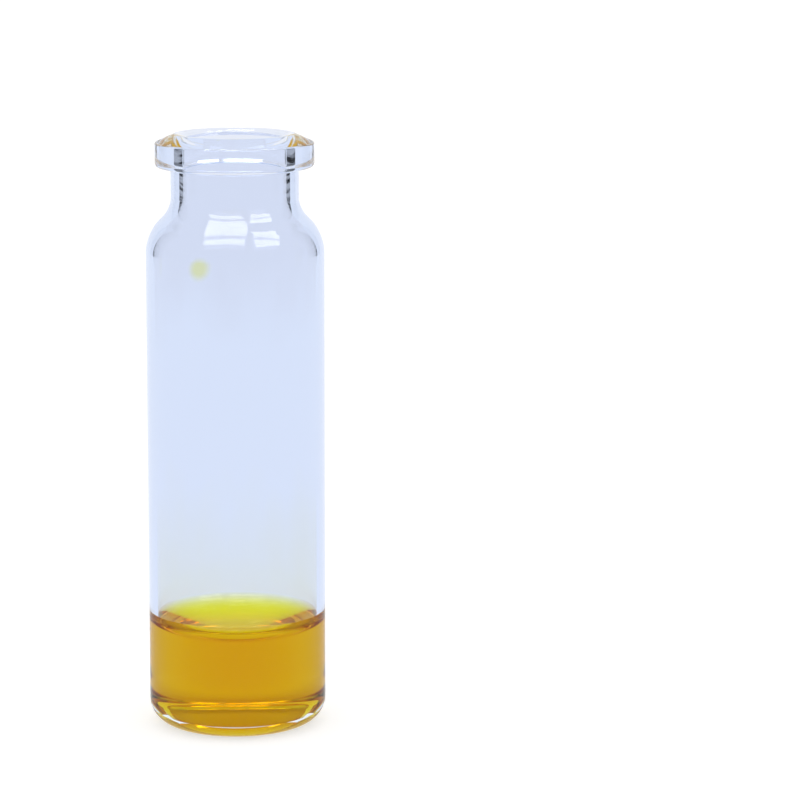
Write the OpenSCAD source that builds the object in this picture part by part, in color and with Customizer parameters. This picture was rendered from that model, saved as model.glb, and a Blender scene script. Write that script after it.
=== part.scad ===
// Glass sample vial with a crimp lip, holding a few millilitres of liquid.
// Millimetres, +Z up, origin on the axis at the surface the vial stands on.
// Each round piece is a section turned about Z, drawn as [radius, height].

/* [Body] */
// Outside diameter of the body
body_d = 22.5; // [21.5:0.1:25]
// Height from the standing surface to the top of the lip
vial_h = 75.5; // [46:0.5:100]
// Thickness of the body wall
wall_t = 1.1; // [0.8:0.05:1.6]

/* [Base] */
// Outside radius of the heel, where the wall turns into the base
heel_r = 3.2; // [2:0.1:4]
// Inside radius of the heel
inner_heel_r = 3.8; // [1.6:0.1:4.4]
// Thickness of the base
base_t = 1.5; // [1:0.05:2.5]
// Height of the push-up in the middle of the underside
pushup_h = 0.4; // [0.1:0.05:0.8]
// Width of the flat ring that the vial stands on
ring_w = 1.2; // [0.6:0.1:2]

/* [Shoulder] */
// Slope of the shoulder, in degrees from level
shoulder_angle = 45; // [38:1:60]
// Outside radius where the shoulder turns into the body
shoulder_r = 5.5; // [3:0.1:6.5]
// Outside radius where the neck turns into the shoulder
neck_root_r = 3.4; // [1.4:0.1:4]
// Thickness of the glass in the shoulder
shoulder_t = 1.25; // [0.9:0.05:1.35]

/* [Neck] */
// Outside diameter of the neck
neck_d = 16.1; // [15.5:0.1:17]
// Diameter of the bore through the neck
bore_d = 13; // [12:0.1:13.6]
// Height of the neck, from the shoulder's slope to the lip
neck_h = 5.2; // [3.5:0.1:8]

/* [Crimp lip] */
// Outside diameter of the lip
lip_d = 20; // [19.5:0.1:20.5]
// Height of the lip's outer side
lip_side_h = 3.1; // [2.4:0.1:3.8]
// Rise of the bevel from the lip's side to its top
bevel_h = 1.1; // [0.6:0.1:1.6]
// Width of the flat on top, which a seal rests on
crest_w = 0.25; // [0.25:0.05:0.6]
// Radius of the mouth's inner edge
mouth_edge_r = 0.75; // [0.3:0.05:0.8]
// Radius of the bevel's inner edge, beside the flat
crest_edge_r = 0.8; // [0.2:0.1:0.8]
// Radius of the bevel's outer edge
lip_edge_r = 0.3; // [0.1:0.05:0.5]
// Radius of the lip's lower edge
lip_under_r = 0.55; // [0.3:0.05:0.8]
// Radius under the lip, where it meets the neck
lip_root_r = 0.4; // [0.2:0.05:0.6]

/* [Sample] */
// Height of the liquid's level surface above the standing surface
level_h = 11.6; // [8:0.1:26]
// How far the liquid climbs the wall above its level
climb_h = 3; // [0.6:0.1:3.5]
// Capillary length of the liquid, which sets how far in its raised edge reaches
capillary_l = 2.5; // [2.15:0.05:2.9]

/* [Droplet] */
// Width of the droplet on the inner wall
drop_w = 3.8; // [1.5:0.1:4]
// How far the droplet stands out from the wall
drop_t = 0.5; // [0.3:0.05:0.75]
// Distance from the shoulder's lower corner down to the droplet
drop_down = 5.7; // [4:0.1:18]
// Turn of the droplet from the back (+Y) towards -X, in degrees
drop_turn = 28; // [-180:1:180]

/* [Hidden] */

$fn = 96;
arc_step = 9;        // degrees of arc to each edge of a rounded corner
dome_edges = 6;      // edges across the shallow dome of the base
meniscus_edges = 12; // edges up the liquid's raised edge
tail_share = 0.03;   // share of the climb at which the raised edge has run out
drop_sides = 180;    // sides of the ball that shapes the droplet

body_r = body_d / 2;
inner_r = body_r - wall_t;
neck_r = neck_d / 2;
bore_r = bore_d / 2;
lip_r = lip_d / 2;
crest_r = bore_r + mouth_edge_r + crest_w;

ring_out_r = body_r - heel_r;
ring_in_r = ring_out_r - ring_w;
floor_r = inner_r - inner_heel_r;

// Heights of the outside, worked down from the top
lip_edge_z = vial_h - bevel_h;
lip_under_z = lip_edge_z - lip_side_h;
shoulder_top_z = lip_under_z - neck_h;
slope = tan(shoulder_angle);
shoulder_low_z = shoulder_top_z - (body_r - neck_r) * slope;

// The inside of the shoulder is its outside moved in by the glass
inner_drop = shoulder_t / cos(shoulder_angle);
inner_top_z = shoulder_top_z + (neck_r - bore_r) * slope - inner_drop;
inner_low_z = shoulder_top_z - (inner_r - neck_r) * slope - inner_drop;
inner_root_r = neck_root_r + shoulder_t;
inner_shoulder_r = shoulder_r - shoulder_t;

contact_z = level_h + climb_h;
drop_z = shoulder_low_z - drop_down;
drop_ball_r = (pow(drop_w / 2, 2) + pow(drop_t, 2)) / (2 * drop_t);

glass_colour = [0.82, 0.88, 0.98, 0.4];
liquid_colour = [0.80, 0.61, 0.05, 0.85];
drop_colour = [0.88, 0.86, 0.42, 0.8];

function unit(v) = v / norm(v);

function reversed(list) = [for (i = [len(list) - 1:-1:0]) list[i]];

function inverse_cosh(x) = ln(x + sqrt(x * x - 1));

// Points of the arc of radius r that rounds the corner b between a and c
function rounded(a, b, c, r) =
    let (
        u = unit(a - b),
        v = unit(c - b),
        half = acos(u * v) / 2,
        centre = b + unit(u + v) * r / sin(half),
        from = b + u * r / tan(half) - centre,
        sweep = (cross(u, v) > 0 ? -1 : 1) * (180 - 2 * half),
        count = max(2, ceil(abs(sweep) / arc_step))
    )
    [for (i = [0:count])
        let (t = sweep * i / count)
        centre + [
            from.x * cos(t) - from.y * sin(t),
            from.x * sin(t) + from.y * cos(t)
        ]];

// Outline through corners [x, z, radius]. The last corner only says which
// way the outline leaves, so another outline can start there.
function outline(corners) =
    let (flat = [for (c = corners) [c[0], c[1]]])
    [for (i = [0:len(corners) - 2])
        each corners[i][2] > 0
            ? rounded(flat[i - 1], flat[i], flat[i + 1], corners[i][2])
            : [flat[i]]];

// Shallow dome over low_z, from the axis out to, but without, its rim
function dome(rim_r, low_z) =
    [for (i = [0:dome_edges - 1])
        let (share = i / dome_edges)
        [rim_r * share, low_z + pushup_h * (1 - share * share)]];

// Inside of the base, from the axis out and up to the top of the heel
function floor_outline() = concat(
    dome(floor_r, base_t),
    rounded([0, base_t], [inner_r, base_t], [inner_r, contact_z], inner_heel_r)
);

// Distance from a wall to where a capillary surface stands h above its level,
// up to a constant
function capillary_reach(h) =
    capillary_l * inverse_cosh(2 * capillary_l / h)
    - sqrt(4 * pow(capillary_l, 2) - h * h);

// The liquid's surface, from its contact line on the wall in to the axis
function surface_outline() = concat(
    [for (i = [0:meniscus_edges])
        let (
            h = climb_h * pow(tail_share, i / meniscus_edges),
            reach = capillary_reach(h) - capillary_reach(climb_h)
        )
        [inner_r - reach, level_h + h]],
    [[0, level_h]]
);

// The glass, from the push-up under the base, up the outside, over the lip
// and down the inside to the top of the inner heel
function glass_outline() = concat(
    dome(ring_in_r, 0),
    outline([
        [ring_in_r, 0, 0],
        [body_r, 0, heel_r],
        [body_r, shoulder_low_z, shoulder_r],
        [neck_r, shoulder_top_z, neck_root_r],
        [neck_r, lip_under_z, lip_root_r],
        [lip_r, lip_under_z, lip_under_r],
        [lip_r, lip_edge_z, lip_edge_r],
        [crest_r, vial_h, crest_edge_r],
        [bore_r, vial_h, mouth_edge_r],
        [bore_r, inner_top_z, inner_root_r],
        [inner_r, inner_low_z, inner_shoulder_r],
        [inner_r, contact_z, 0]
    ]),
    reversed(floor_outline())
);

module turned(section) {
    rotate_extrude() polygon(section);
}

// One blown piece: base, body, shoulder, neck and lip
module vial() {
    color(glass_colour) turned(glass_outline());
}

// The sample, filling the base, with its edge drawn up the wall
module liquid() {
    color(liquid_colour) turned(concat(floor_outline(), surface_outline()));
}

// A droplet of the sample, clinging to the inner wall
module liquid_drop() {
    color(drop_colour)
        intersection() {
            cylinder(r = inner_r, h = vial_h, $fn = 2 * drop_sides);
            rotate([0, 0, drop_turn])
                translate([0, inner_r + drop_ball_r - drop_t, drop_z])
                    sphere(r = drop_ball_r, $fn = drop_sides);
        }
}

vial();
liquid();
liquid_drop();
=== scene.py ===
# %% [markdown]
# # A glass crimp-neck vial with a few millilitres of amber sample
#
# The vial is one blown piece of borosilicate glass: a rounded base with a
# shallow push-up, a straight body, a sloping shoulder, a short neck and a
# bevelled lip that takes a crimp cap. A sample liquid stands in its base, and
# one droplet of it clings high on the inner wall.
#
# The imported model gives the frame: where the pieces are and how large they
# are. Everything below is made in metres, in that same frame.

# %% Load the frame
import math

import bpy
from mathutils import Matrix, Vector


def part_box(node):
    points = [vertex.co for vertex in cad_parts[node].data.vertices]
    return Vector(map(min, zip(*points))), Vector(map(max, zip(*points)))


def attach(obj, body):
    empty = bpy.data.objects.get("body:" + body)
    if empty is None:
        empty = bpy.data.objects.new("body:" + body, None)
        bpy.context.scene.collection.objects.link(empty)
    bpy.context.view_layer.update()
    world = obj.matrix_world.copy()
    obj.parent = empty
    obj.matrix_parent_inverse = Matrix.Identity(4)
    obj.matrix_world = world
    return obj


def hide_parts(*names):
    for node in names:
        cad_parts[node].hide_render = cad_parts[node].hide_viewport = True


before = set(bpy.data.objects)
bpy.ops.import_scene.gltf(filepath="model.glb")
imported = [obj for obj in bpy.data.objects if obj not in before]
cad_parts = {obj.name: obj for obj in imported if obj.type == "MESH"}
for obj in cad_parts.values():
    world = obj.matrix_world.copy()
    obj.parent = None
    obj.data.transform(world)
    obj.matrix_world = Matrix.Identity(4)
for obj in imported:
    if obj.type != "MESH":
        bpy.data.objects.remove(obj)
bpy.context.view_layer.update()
print("solids:", sorted(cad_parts))

# %% [markdown]
# ## Sizes
#
# The overall sizes are read from the solids' boxes. What a box can't tell, such
# as a wall or the radius of a rounded corner, is named here in millimetres, as
# a glassworks drawing names it.

# %% Sizes from the boxes
MM = 0.001

vial_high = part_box("vial")[1]
liquid_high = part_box("liquid")[1]
drop_low, drop_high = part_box("liquid_drop")

body_r = vial_high.x / MM
vial_h = vial_high.z / MM
inner_r = liquid_high.x / MM
contact_z = liquid_high.z / MM
print(f"body radius {body_r:.2f}, height {vial_h:.2f}, wall {body_r - inner_r:.2f} mm")
print(f"the sample wets the wall up to {contact_z:.2f} mm")

# %% Sizes of the glass, in millimetres
heel_r = 3.2
inner_heel_r = 3.8
base_t = 1.5
pushup_h = 0.4
ring_w = 1.2
shoulder_angle = math.radians(45)
shoulder_r = 5.5
neck_root_r = 3.4
shoulder_t = 1.25
neck_r = 8.05
bore_r = 6.5
neck_h = 5.2
lip_r = 10
lip_side_h = 3.1
bevel_h = 1.1
crest_w = 0.25
mouth_edge_r = 0.75
crest_edge_r = 0.8
lip_edge_r = 0.3
lip_under_r = 0.55
lip_root_r = 0.4

# %% Heights and radii that follow from them
crest_r = bore_r + mouth_edge_r + crest_w
ring_out_r = body_r - heel_r
ring_in_r = ring_out_r - ring_w
floor_r = inner_r - inner_heel_r

lip_edge_z = vial_h - bevel_h
lip_under_z = lip_edge_z - lip_side_h
shoulder_top_z = lip_under_z - neck_h
slope = math.tan(shoulder_angle)
shoulder_low_z = shoulder_top_z - (body_r - neck_r) * slope

inner_drop = shoulder_t / math.cos(shoulder_angle)
inner_top_z = shoulder_top_z + (neck_r - bore_r) * slope - inner_drop
inner_low_z = shoulder_top_z - (inner_r - neck_r) * slope - inner_drop
print(f"shoulder from {shoulder_low_z:.2f} to {shoulder_top_z:.2f} mm")

# %% [markdown]
# ## Helpers
#
# Every operator acts on what is selected, and loading the frame leaves the
# solids selected, so each piece starts with nothing selected.
#
# A round glass piece is best made as a glassblower's drawing is: half of its
# section is drawn as corners, the corners are rounded, and the section is spun
# about the axis. A subdivided cylinder would need many support loops to hold
# the same corners, and it would ripple the light that passes through it.

# %% Start a piece from one point of its section
def begin(name, point):
    """A new object that is one vertex, at [radius, height] in millimetres."""
    bpy.ops.object.select_all(action="DESELECT")
    bpy.ops.mesh.primitive_plane_add(size=MM)
    piece = bpy.context.object
    piece.name = name
    piece.data.name = name
    bpy.ops.object.mode_set(mode="EDIT")
    bpy.ops.mesh.select_all(action="SELECT")
    bpy.ops.mesh.merge(type="CENTER")
    bpy.ops.transform.translate(value=(point[0] * MM, 0, point[1] * MM))
    return piece


# %% Draw the section and round its corners
HAIR_SHORT = 0.9999


def draw(points):
    """Extrudes the selected vertex along the points after the first one."""
    for here, there in zip(points[:-1], points[1:]):
        step = ((there[0] - here[0]) * MM, 0, (there[1] - here[1]) * MM)
        bpy.ops.mesh.extrude_vertices_move(TRANSFORM_OT_translate={"value": step})


def select_at(piece, point):
    """Selects the one vertex of the section that is at [radius, height]."""
    bpy.ops.mesh.select_all(action="DESELECT")
    bpy.ops.object.mode_set(mode="OBJECT")
    place = Vector((point[0] * MM, 0, point[1] * MM))
    nearest = min(piece.data.vertices, key=lambda v: (v.co - place).length)
    nearest.select = True
    bpy.ops.object.mode_set(mode="EDIT")


def turn_at(before, corner, after):
    """How far the outline turns at a corner, in radians."""
    way_in = Vector((corner[0] - before[0], corner[1] - before[1]))
    way_out = Vector((after[0] - corner[0], after[1] - corner[1]))
    return way_in.angle(way_out)


def round_corners(piece, corners, edges=14):
    """Gives each corner [radius, height, rounding] its arc.

    Each arc stops a hair short, so that none runs past the next corner. The
    spin closes the hair.
    """
    for before, corner, after in zip(corners[:-2], corners[1:-1], corners[2:]):
        if corner[2] == 0:
            continue
        turn = turn_at(before, corner, after)
        select_at(piece, corner)
        bpy.ops.mesh.bevel(
            offset_type="OFFSET",
            offset=corner[2] * MM * math.tan(turn / 2) * HAIR_SHORT,
            segments=edges,
            profile=0.5,
            affect="VERTICES",
        )


# %% Spin the section into a closed shell
CREASE = math.radians(40)


def turn_round(piece, steps=256):
    """Spins the section about Z, closes it and points its faces outwards."""
    bpy.ops.mesh.select_all(action="SELECT")
    bpy.ops.mesh.spin(
        steps=steps, angle=2 * math.pi, center=(0, 0, 0), axis=(0, 0, 1)
    )
    bpy.ops.mesh.select_all(action="SELECT")
    bpy.ops.mesh.remove_doubles(threshold=1e-6)
    bpy.ops.mesh.normals_make_consistent(inside=False)
    bpy.ops.object.mode_set(mode="OBJECT")


def weigh_normals(piece):
    """Keeps the long straight walls true where they run into a rounding."""
    weights = piece.modifiers.new("weigh normals", "WEIGHTED_NORMAL")
    weights.mode = "FACE_AREA"
    weights.weight = 100
    weights.keep_sharp = True
    bpy.ops.object.modifier_apply(modifier=weights.name)


def report(piece):
    faces = len(piece.data.polygons)
    size = piece.dimensions / MM
    print(f"{piece.name}: {faces} faces, {size.x:.2f} x {size.y:.2f} x {size.z:.2f} mm")


# %% [markdown]
# ## The vial
#
# The section starts under the middle of the base, runs up the outside, over the
# lip and down the inside, and ends above the middle of the base. Both ends lie
# on the axis, so the spun shell is closed. The push-up under the base, and the
# floor above it, are shallow domes.

# %% Section of the glass
def dome(rim_r, low_z, edges=6):
    """A shallow dome, from the axis out to, but without, its rim."""
    shares = [i / edges for i in range(edges)]
    return [(rim_r * s, low_z + pushup_h * (1 - s * s), 0) for s in shares]


glass_corners = dome(ring_in_r, 0) + [
    (ring_in_r, 0, 0),
    (body_r, 0, heel_r),
    (body_r, shoulder_low_z, shoulder_r),
    (neck_r, shoulder_top_z, neck_root_r),
    (neck_r, lip_under_z, lip_root_r),
    (lip_r, lip_under_z, lip_under_r),
    (lip_r, lip_edge_z, lip_edge_r),
    (crest_r, vial_h, crest_edge_r),
    (bore_r, vial_h, mouth_edge_r),
    (bore_r, inner_top_z, neck_root_r + shoulder_t),
    (inner_r, inner_low_z, shoulder_r - shoulder_t),
    (inner_r, contact_z, 0),
    (inner_r, base_t, inner_heel_r),
    (floor_r, base_t, 0),
] + dome(floor_r, base_t)[::-1]
print(f"the section has {len(glass_corners)} corners")

# %% Spin the vial
vial = begin("vial_glass", glass_corners[0])
draw(glass_corners)
round_corners(vial, glass_corners)
turn_round(vial)
bpy.ops.object.shade_smooth()
weigh_normals(vial)
report(vial)
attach(vial, "root")
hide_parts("vial")

# %% [markdown]
# ## The sample
#
# The liquid fills the rounded base and is drawn up the wall at its edge. The
# height of that raised edge follows the formula for a liquid beside a wall, in
# which the capillary length sets how far in the rise reaches.
#
# Light bends once where liquid meets glass, so the two must leave no air
# between them. The liquid is made a hair larger than the hollow and its skin
# lies inside the glass.

# %% Section of the sample
climb_h = 3.0
level_z = contact_z - climb_h
capillary_l = 2.5
tail_share = 0.02
sunk = 0.01


def reach(height):
    """Distance from a wall at which the raised edge stands this high."""
    ratio = 2 * capillary_l / height
    return capillary_l * math.acosh(ratio) - math.sqrt(
        4 * capillary_l**2 - height**2
    )


def raised_edge(edges=32):
    """The liquid's surface, from its contact line in to the level part."""
    heights = [climb_h * tail_share ** (i / edges) for i in range(edges + 1)]
    start = reach(climb_h)
    return [(inner_r - reach(h) + start, level_z + h, 0) for h in heights]


surface = raised_edge()
edge_rise = surface[0][1] - surface[1][1]
edge_run = surface[0][0] - surface[1][0]
wet_r = inner_r + sunk
wet_z = contact_z + sunk * edge_rise / edge_run

liquid_corners = [
    (0, base_t + pushup_h - sunk, 0),
    *[(r, z - sunk, 0) for r, z, _ in dome(floor_r, base_t)[1:]],
    (floor_r, base_t - sunk, 0),
    (wet_r, base_t - sunk, inner_heel_r + sunk),
    (wet_r, wet_z, 0),
    *surface,
    (0, level_z, 0),
]
contact_angle = math.degrees(math.atan2(edge_run, edge_rise))
print(f"level at {level_z:.2f} mm, contact angle {contact_angle:.0f} degrees")

# %% Spin the sample
sample = begin("sample_liquid", liquid_corners[0])
draw(liquid_corners)
round_corners(sample, liquid_corners)
turn_round(sample)
bpy.ops.object.shade_smooth_by_angle(angle=CREASE)
weigh_normals(sample)
report(sample)
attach(sample, "root")
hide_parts("liquid")

# %% [markdown]
# ## The droplet
#
# The droplet is a flat lens of liquid on the inner wall. Its middle and its
# size come from the solid's box. Half of a lens is drawn and spun like the
# glass, tipped to face the axis, and its back is bent to the round of the wall.

# %% Section of the droplet
drop_mid = (drop_low + drop_high) / 2
drop_turn = math.atan2(-drop_mid.x, drop_mid.y)
drop_r = (drop_high.z - drop_low.z) / MM / 2
drop_t = 0.5


def lens(edges=12):
    """A flat back from the axis to the rim, and a domed front back to it."""
    turns = [math.pi / 2 * i / edges for i in range(1, edges)]
    back = [(drop_r * math.sin(a), 0, 0) for a in turns]
    front = [(drop_r * math.cos(a), drop_t * math.sin(a), 0) for a in turns]
    return [(0, 0, 0), *back, (drop_r, 0, 0), *front, (0, drop_t, 0)]


# %% Spin the droplet and set it on the wall
lens_points = lens()
droplet = begin("sample_droplet", lens_points[0])
draw(lens_points)
turn_round(droplet, steps=96)
bpy.ops.object.mode_set(mode="EDIT")
bpy.ops.mesh.select_all(action="SELECT")
bpy.ops.transform.rotate(
    value=math.pi / 2, orient_axis="X", center_override=(0, 0, 0)
)
bpy.ops.object.mode_set(mode="OBJECT")
for vertex in droplet.data.vertices:
    wall_y = math.sqrt((inner_r * MM) ** 2 - vertex.co.x**2)
    vertex.co.y += wall_y - sunk * MM
bpy.ops.object.mode_set(mode="EDIT")
bpy.ops.mesh.select_all(action="SELECT")
bpy.ops.transform.rotate(
    value=-drop_turn, orient_axis="Z", center_override=(0, 0, 0)
)
bpy.ops.transform.translate(value=(0, 0, drop_mid.z))
bpy.ops.mesh.normals_make_consistent(inside=False)
bpy.ops.object.mode_set(mode="OBJECT")
bpy.ops.object.shade_smooth_by_angle(angle=CREASE)
report(droplet)
made_mid = sum((Vector(corner) for corner in droplet.bound_box), Vector()) / 8
print(f"droplet off its solid by {(made_mid - drop_mid).length / MM:.3f} mm")
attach(droplet, "root")
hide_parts("liquid_drop")


# %% [markdown]
# ## Finishes
#
# Each finish is a small net of shader nodes. A number that is the same all over
# a surface is typed into the shader's own socket, which every program that
# reads the model understands.

# %% Helpers for node nets
def finish(name):
    """A new material with an empty net, its nodes, links and output."""
    material = bpy.data.materials.new(name)
    material.use_nodes = True
    nodes = material.node_tree.nodes
    links = material.node_tree.links
    nodes.clear()
    output = nodes.new("ShaderNodeOutputMaterial")
    return material, nodes, links, output


def calculate(nodes, links, operation, first, second):
    """The result of a calculation on two values, each a number or a socket."""
    node = nodes.new("ShaderNodeMath")
    node.operation = operation
    for socket, value in zip(node.inputs, (first, second)):
        if isinstance(value, (int, float)):
            socket.default_value = value
        else:
            links.new(value, socket)
    return node.outputs["Value"]


def place_on(nodes, links):
    """The place on the object as a vector socket, and as its X, Y and Z."""
    place = nodes.new("ShaderNodeTexCoord").outputs["Object"]
    split = nodes.new("ShaderNodeSeparateXYZ")
    links.new(place, split.inputs["Vector"])
    return place, split.outputs


def mottled(nodes, links, place, stretch, detail):
    """Soft noise over a place that is stretched along X, Y and Z."""
    stretched = nodes.new("ShaderNodeMapping")
    stretched.inputs["Scale"].default_value = stretch
    links.new(place, stretched.inputs["Vector"])
    noise = nodes.new("ShaderNodeTexNoise")
    noise.inputs["Scale"].default_value = 1
    noise.inputs["Detail"].default_value = detail
    links.new(stretched.outputs["Vector"], noise.inputs["Vector"])
    return noise.outputs["Fac"]


def mirrored_share(nodes, ior):
    """The part of the light that a smooth skin mirrors."""
    fresnel = nodes.new("ShaderNodeFresnel")
    fresnel.inputs["IOR"].default_value = ior
    return fresnel.outputs["Fac"]


def bending(nodes, colour, ior):
    """A clear shader that lets light through and bends it."""
    shader = nodes.new("ShaderNodeBsdfRefraction")
    shader.inputs["Color"].default_value = colour
    shader.inputs["Roughness"].default_value = 0
    shader.inputs["IOR"].default_value = ior
    return shader


def mirroring(nodes, colour):
    """A shader that mirrors all light, sharply."""
    shader = nodes.new("ShaderNodeBsdfGlossy")
    shader.inputs["Color"].default_value = colour
    shader.inputs["Roughness"].default_value = 0
    return shader


def blend(nodes, links, share, first, second):
    """The second shader in that share, and the first one in the rest."""
    mix = nodes.new("ShaderNodeMixShader")
    links.new(share, mix.inputs["Fac"])
    links.new(first.outputs[0], mix.inputs[1])
    links.new(second.outputs[0], mix.inputs[2])
    return mix


def graded(nodes, links, value, low, high, colour_low, colour_high):
    """A colour that goes from one to the other as the value rises."""
    ramp = nodes.new("ShaderNodeMapRange")
    ramp.interpolation_type = "SMOOTHSTEP"
    ramp.inputs["From Min"].default_value = low
    ramp.inputs["From Max"].default_value = high
    links.new(value, ramp.inputs["Value"])
    mix = nodes.new("ShaderNodeMix")
    mix.data_type = "RGBA"
    mix.inputs["Factor"].default_value = 0
    links.new(ramp.outputs["Result"], mix.inputs["Factor"])
    mix.inputs[6].default_value = colour_low
    mix.inputs[7].default_value = colour_high
    return mix.outputs[2]


# %% [markdown]
# ### Glass
#
# Clear glass bends most of the light and mirrors a little of it, more and more
# towards the edges, and all of it where light inside the wall meets the skin
# too flat to get out. A Fresnel value drives that share, and a power of it says
# how much glare is left. A faint cold cast is given where light crosses the
# outer skin, so each wall has it once, however thick it is. The cast is partly
# the glass's own and partly painted: the pale blue of a surround seen through it.

# %% A helper for clear glass
GLASS_IOR = 1.5
CLEAR = (1, 1, 1, 1)
ONLY_TRAPPED = 60


def clear_skin(name, cast, glare_power):
    """Glass whose plain glare fades as the power rises, down to none."""
    material, nodes, links, output = finish(name)
    share = mirrored_share(nodes, GLASS_IOR)
    glare = calculate(nodes, links, "POWER", share, glare_power)
    bend = bending(nodes, cast, GLASS_IOR)
    skin = blend(nodes, links, glare, bend, mirroring(nodes, CLEAR))
    links.new(skin.outputs["Shader"], output.inputs["Surface"])
    return material, nodes, links, bend


# %% [markdown]
# The inner skin has no cast of its own. It is tinted faint yellow for some way
# above the sample's edge, and towards the top it is faintly grey, a painted
# shade. Where the sample wets the skin, glass and liquid bend light nearly
# alike, so hardly anything is mirrored there: that part has a high power, which
# mirrors only what is trapped. Seen on a slant it is browner, a painted shade
# that gives the sample its dark rims.

# %% The outer skin
LIVELY = 1.4
# Partly the glass's own faint tint, partly painted: the pale blue of a surround seen
# through the glass.
CAST_AND_PAINTED_SURROUND = (0.822, 0.873, 0.98, 1)

outer_skin = clear_skin("outer_skin", CAST_AND_PAINTED_SURROUND, LIVELY)[0]

# %% The dry inner skin, with its yellow band and a painted shade at the top
# Faint yellow above the sample's edge, untinted in the middle, and a painted shade, a
# faint grey, towards the top.
YELLOW_ABOVE_EDGE = (1, 0.985, 0.90, 1)
PAINTED_TOP_SHADE = (0.975, 0.967, 0.966, 1)
UNTINTED_FROM, UNTINTED_TO, PAINTED_SHADE_FROM = 0.27, 0.58, 0.72
TINT_RUNS = (160, 160, 60)
TINT_UNEVEN = 0.3

inner_skin, nodes, links, bend = clear_skin("inner_skin", CLEAR, LIVELY)
place, axes = place_on(nodes, links)
share_up = nodes.new("ShaderNodeMapRange")
share_up.inputs["From Min"].default_value = contact_z * MM
share_up.inputs["From Max"].default_value = vial_h * MM
links.new(axes["Z"], share_up.inputs["Value"])
uneven = mottled(nodes, links, place, TINT_RUNS, detail=2)
shift = calculate(nodes, links, "SUBTRACT", uneven, 0.5)
shift = calculate(nodes, links, "MULTIPLY", shift, TINT_UNEVEN)
height = calculate(nodes, links, "ADD", share_up.outputs["Result"], shift)
tint_and_shade = nodes.new("ShaderNodeValToRGB")
links.new(height, tint_and_shade.inputs["Fac"])
stops = tint_and_shade.color_ramp.elements
stops.remove(stops[1])
stops[0].color = YELLOW_ABOVE_EDGE
for share, colour in ((UNTINTED_FROM, CLEAR), (UNTINTED_TO, CLEAR), (PAINTED_SHADE_FROM, PAINTED_TOP_SHADE)):
    stops.new(share).color = colour
links.new(tint_and_shade.outputs["Color"], bend.inputs["Color"])

# %% The wetted inner skin
# Painted shade: on a slant the wetted skin turns brown, which darkens the sample's
# rims.
PAINTED_RIM_SHADE = (0.80, 0.66, 0.60, 1)
SLANT_FROM, SLANT_TO = 0.15, 0.5

wetted_skin, nodes, links, bend = clear_skin("wetted_skin", CLEAR, ONLY_TRAPPED)
slant = nodes.new("ShaderNodeLayerWeight")
slant.inputs["Blend"].default_value = 0.5
painted_rim_shade = graded(
    nodes, links, slant.outputs["Facing"], SLANT_FROM, SLANT_TO, CLEAR, PAINTED_RIM_SHADE
)
links.new(painted_rim_shade, bend.inputs["Color"])
for material in (outer_skin, inner_skin, wetted_skin):
    vial.data.materials.append(material)


# %% Which faces have which skin
OUTSIDE, INSIDE_DRY, INSIDE_WET = 0, 1, 2


def skin_of(face):
    """The slot of the skin that a face of the glass has."""
    middle = face.center / MM
    if middle.z < base_t - 0.01:
        return OUTSIDE
    away = Vector((middle.x, middle.y, 0)).normalized()
    faces_in = away.dot(face.normal) < -0.05
    faces_up = face.normal.z > 0.5 and middle.z < contact_z
    if not (faces_in or faces_up):
        return OUTSIDE
    return INSIDE_WET if middle.z < contact_z else INSIDE_DRY


for face in vial.data.polygons:
    face.material_index = skin_of(face)
for slot, where in enumerate(("outside", "inside, dry", "inside, wetted")):
    count = sum(face.material_index == slot for face in vial.data.polygons)
    print(f"faces {where}: {count}")

# %% [markdown]
# ### Sample
#
# The amber colour is in the depth of the liquid and not on its skin, so it is
# an absorbing volume: blue light is taken out at once and green more slowly. A
# tint on the skin would be simpler, but it would look the same in the thin
# raised edge as in the middle. The skin refracts, and shows glare only on its
# free surface, because its other sides lie against glass.

# %% Where the sample's surface is free
amber, nodes, links, output = finish("amber_liquid")
_, axes = place_on(nodes, links)
across = calculate(nodes, links, "MULTIPLY", axes["X"], axes["X"])
along = calculate(nodes, links, "MULTIPLY", axes["Y"], axes["Y"])
radius_squared = calculate(nodes, links, "ADD", across, along)
above = calculate(nodes, links, "GREATER_THAN", axes["Z"], (level_z - 0.01) * MM)
within = calculate(
    nodes, links, "LESS_THAN", radius_squared, ((inner_r + 0.001) * MM) ** 2
)
free = calculate(nodes, links, "MULTIPLY", above, within)

# %% The sample's skin
LIQUID_IOR = 1.38
MIRRORED_GOLD = (0.95, 0.9, 0.45, 1)

share = mirrored_share(nodes, LIQUID_IOR)
glare = calculate(nodes, links, "MULTIPLY", share, free)
trapped = calculate(nodes, links, "POWER", share, ONLY_TRAPPED)
mirrored = calculate(nodes, links, "MAXIMUM", glare, trapped)
bend = bending(nodes, CLEAR, LIQUID_IOR)
skin = blend(nodes, links, mirrored, bend, mirroring(nodes, MIRRORED_GOLD))
links.new(skin.outputs["Shader"], output.inputs["Surface"])

# %% The sample's depth
AMBER = (0.9972, 0.9782, 0.0, 1)
AMBER_STRENGTH = 2000

depth = nodes.new("ShaderNodeVolumeAbsorption")
depth.inputs["Color"].default_value = AMBER
depth.inputs["Density"].default_value = AMBER_STRENGTH
links.new(depth.outputs["Volume"], output.inputs["Volume"])
sample.data.materials.append(amber)

# %% [markdown]
# ### Droplet
#
# The droplet is the same liquid, but too thin to be amber: a pale yellow that
# fades out towards its thin rim. A volume this small would need a strength of
# its own, so the tint is given where light crosses the skin. The skin bends
# light only a little, so that the flat lens doesn't turn into a dark bead.

# %% The droplet's liquid
DROP_YELLOW = (1, 0.99, 0.72, 1)
DROP_IOR = 1.005
FULL_TINT_SHARE = 0.35

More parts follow.
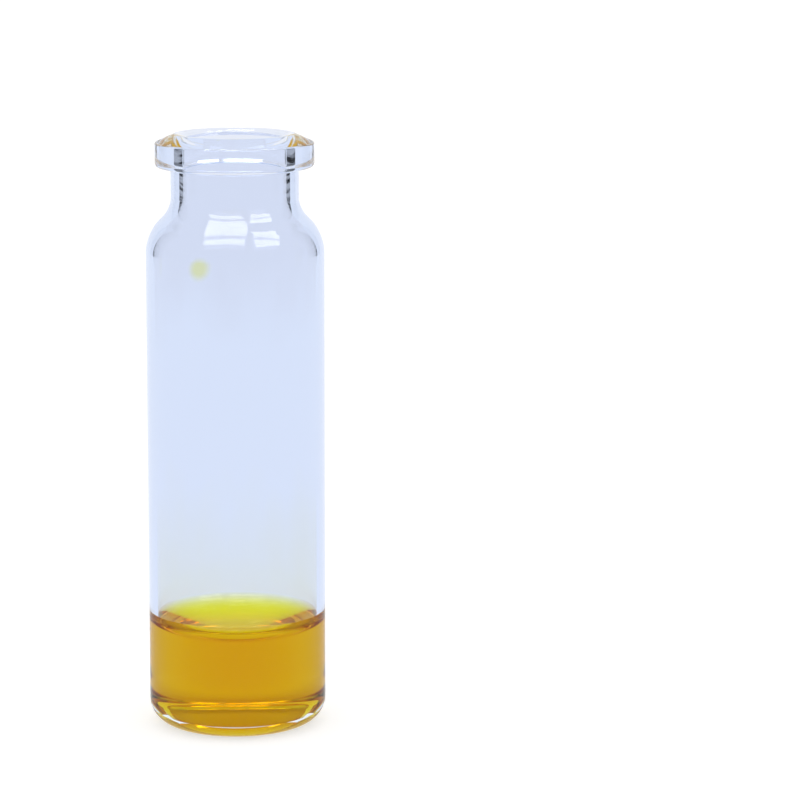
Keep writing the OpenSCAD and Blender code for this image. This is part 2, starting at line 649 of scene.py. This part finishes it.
pale, nodes, links, output = finish("pale_liquid")
place = nodes.new("ShaderNodeTexCoord").outputs["Object"]
from_middle = nodes.new("ShaderNodeVectorMath")
from_middle.operation = "DISTANCE"
from_middle.inputs[1].default_value = drop_mid
links.new(place, from_middle.inputs[0])
fading = graded(
    nodes,
    links,
    from_middle.outputs["Value"],
    drop_r * MM * FULL_TINT_SHARE,
    drop_r * MM,
    DROP_YELLOW,
    CLEAR,
)
bend = bending(nodes, CLEAR, DROP_IOR)
links.new(fading, bend.inputs["Color"])
links.new(bend.outputs["BSDF"], output.inputs["Surface"])
droplet.data.materials.append(pale)

# %% [markdown]
# ## Floor, light and camera
#
# Glass has hardly any looks of its own: it shows what stands around it. The
# vial stands in a bright, even surround. Two dark cards close behind the neck,
# to the left and the right, give the neck and the lip their dark lines, and
# windows of light above the front leave crisp marks on the shoulder.
#
# The floor is a wide disc. It is a plain pale grey to the light, so the vial
# keeps its soft shadow there, with a little added where it is looked at, so
# that it is white like the surround. Seen through the glass it is plain white.

# %% The floor
FLOOR_R = 6.0
FLOOR_SIDES = 96
FLOOR_GREY = (0.55, 0.55, 0.55, 1)
FLOOR_TOP_UP = 0.62


def seen_or_mirrored(nodes, links):
    """The light path's outputs, and 1 where the eye or a mirror looks."""
    path = nodes.new("ShaderNodeLightPath").outputs
    looks = calculate(
        nodes, links, "MAXIMUM", path["Is Camera Ray"], path["Is Glossy Ray"]
    )
    return path, looks


bpy.ops.object.select_all(action="DESELECT")
bpy.ops.mesh.primitive_circle_add(
    vertices=FLOOR_SIDES, radius=FLOOR_R, fill_type="NGON"
)
floor = bpy.context.object
floor.name = "floor"

pale_floor, nodes, links, output = finish("pale_floor")
path, looks = seen_or_mirrored(nodes, links)
matt = nodes.new("ShaderNodeBsdfDiffuse")
matt.inputs["Color"].default_value = FLOOR_GREY
top_up = nodes.new("ShaderNodeEmission")
added = calculate(nodes, links, "MULTIPLY", looks, FLOOR_TOP_UP)
links.new(added, top_up.inputs["Strength"])
both = nodes.new("ShaderNodeAddShader")
links.new(matt.outputs["BSDF"], both.inputs[0])
links.new(top_up.outputs["Emission"], both.inputs[1])
through_glass = nodes.new("ShaderNodeEmission")
through_glass.inputs["Strength"].default_value = 1
surface = blend(nodes, links, path["Is Transmission Ray"], both, through_glass)
links.new(surface.outputs["Shader"], output.inputs["Surface"])
floor.data.materials.append(pale_floor)

# %% [markdown]
# The surround lights everything evenly, as a white tent does. Lamps would leave
# marks of their own on the glass. It is plain white wherever it is looked at,
# mirrored or seen through glass, and a touch dimmer as a light.

# %% The surround
LIGHT_LEVEL = 0.9

world = bpy.data.worlds.new("surround")
bpy.context.scene.world = world
world.use_nodes = True
nodes = world.node_tree.nodes
links = world.node_tree.links
nodes.clear()
output = nodes.new("ShaderNodeOutputWorld")
light = nodes.new("ShaderNodeBackground")
light.inputs["Color"].default_value = CLEAR
links.new(light.outputs["Background"], output.inputs["Surface"])
path, looks = seen_or_mirrored(nodes, links)
looks = calculate(nodes, links, "MAXIMUM", looks, path["Is Transmission Ray"])
level = calculate(nodes, links, "MAXIMUM", looks, LIGHT_LEVEL)
links.new(level, light.inputs["Strength"])


# %% [markdown]
# A window of light or a dark card is a flat sheet that only the glass shows, as
# a studio's panels stand out of view. It casts no shadow and lights nothing
# else.

# %% A helper for the sheets round the vial
def sheet(name, corners, material):
    """A flat sheet through corners [x, y, z] in metres."""
    bpy.ops.object.select_all(action="DESELECT")
    bpy.ops.mesh.primitive_circle_add(vertices=len(corners), fill_type="NGON")
    piece = bpy.context.object
    piece.name = name
    for vertex, corner in zip(piece.data.vertices, corners):
        vertex.co = corner
    piece.data.materials.append(material)
    piece.visible_camera = False
    piece.visible_diffuse = False
    piece.visible_shadow = False


# %% [markdown]
# The windows are level panes above the front. They are bright in what the
# outside of the glass mirrors, because that glare is toned down, and dimmer in
# what has gone deeper into the vial.

# %% The light of the windows
MIRRORED_LEVEL = 18
DEEPER_LEVEL = 5
FIRST_BOUNCE = 1.5

window_light, nodes, links, output = finish("window_light")
path = nodes.new("ShaderNodeLightPath").outputs
glow = nodes.new("ShaderNodeEmission")
first = calculate(nodes, links, "LESS_THAN", path["Ray Depth"], FIRST_BOUNCE)
first = calculate(nodes, links, "MULTIPLY", first, path["Is Glossy Ray"])
extra = calculate(nodes, links, "MULTIPLY", first, MIRRORED_LEVEL - DEEPER_LEVEL)
level = calculate(nodes, links, "ADD", extra, DEEPER_LEVEL)
links.new(level, glow.inputs["Strength"])
links.new(glow.outputs["Emission"], output.inputs["Surface"])

# %% The windows, with corners [x, y]
WINDOW_Z = 0.665
WINDOWS = {
    "left_near": [(-0.27, 0), (0.115, -0.02), (0.14, -0.35), (-0.42, -0.29)],
    "left_far": [(-0.48, -0.41), (0.15, -0.47), (0.18, -0.74), (-0.72, -0.60)],
    "right_near": [
        (0.17, -0.16), (0.30, -0.10), (0.42, 0), (0.76, -0.22), (0.25, -0.37)
    ],
    "right_far": [(0.28, -0.46), (0.79, -0.28), (1.0, -0.44), (0.46, -0.82)],
}

for name, corners in WINDOWS.items():
    sheet(name, [(x, y, WINDOW_Z) for x, y in corners], window_light)

# %% [markdown]
# The dark cards stand upright beside the neck, a little behind it. Their tone
# runs in level bands, so the lines that they give in the glass are broken, and
# they thin out at the foot, so that no hard edge shows in the body.

# %% The tone of the dark cards
CARD_BANDS = (15, 15, 1200)
CARD_DARK = (0.01, 0.01, 0.012, 1)
CARD_PALE = (0.5, 0.5, 0.5, 1)
DARK_UP_TO, PALE_FROM = 0.42, 0.62

card, nodes, links, output = finish("dark_card")
place, axes = place_on(nodes, links)
bands = mottled(nodes, links, place, CARD_BANDS, detail=3)
tone = graded(nodes, links, bands, DARK_UP_TO, PALE_FROM, CARD_DARK, CARD_PALE)
glow = nodes.new("ShaderNodeEmission")
links.new(tone, glow.inputs["Color"])

# %% The foot of the dark cards, thinning out
CARD_LOW = 0.048
CARD_FULL = 0.058
NONE = (0, 0, 0, 1)
WHOLE = (1, 1, 1, 1)

open_air = nodes.new("ShaderNodeBsdfTransparent")
thick = graded(nodes, links, axes["Z"], CARD_LOW, CARD_FULL, NONE, WHOLE)
skin = blend(nodes, links, thick, open_air, glow)
links.new(skin.outputs["Shader"], output.inputs["Surface"])

# %% The dark cards
CARD_AWAY = 0.08
CARD_HIGH = 0.13
CARD_FROM = math.radians(47)
CARD_TO = math.radians(72)

for name, side in (("card_left", -1), ("card_right", 1)):
    corners = []
    for angle, ends in (
        (CARD_FROM, (CARD_HIGH, CARD_LOW)),
        (CARD_TO, (CARD_LOW, CARD_HIGH)),
    ):
        x = side * CARD_AWAY * math.sin(angle)
        y = CARD_AWAY * math.cos(angle)
        corners += [(x, y, z) for z in ends]
    sheet(name, corners, card)

# %% [markdown]
# The camera looks down a little on the vial from the front, through a long
# lens, with the vial to the left of the middle.

# %% The camera
CAMERA_AWAY = 0.430
CAMERA_HEIGHT = 0.11832
LENS = 155.15
PITCH = 10.115
YAW = 2.764
ROLL = 0.119

bpy.ops.object.camera_add(location=(0, -CAMERA_AWAY, CAMERA_HEIGHT))
camera = bpy.context.object
camera.name = "camera"
camera.data.lens = LENS
camera.data.sensor_width = 36
turn = (
    Matrix.Rotation(math.radians(-YAW), 4, "Z")
    @ Matrix.Rotation(math.radians(90 - PITCH), 4, "X")
    @ Matrix.Rotation(math.radians(ROLL), 4, "Z")
)
camera.rotation_euler = turn.to_euler()
camera.data.clip_start = 0.01
camera.data.clip_end = 50
bpy.context.scene.camera = camera

# %% [markdown]
# Light that is trapped in a glass wall bounces many times before it gets out,
# so the limits on its bounces are high. With few, the lip and the base go black.

# %% Render settings that belong to the scene
MOST_BOUNCES = 96
MOST_MIRRORED = 64

scene = bpy.context.scene
scene.view_settings.view_transform = "Standard"
scene.cycles.max_bounces = MOST_BOUNCES
scene.cycles.transmission_bounces = MOST_BOUNCES
scene.cycles.glossy_bounces = MOST_MIRRORED
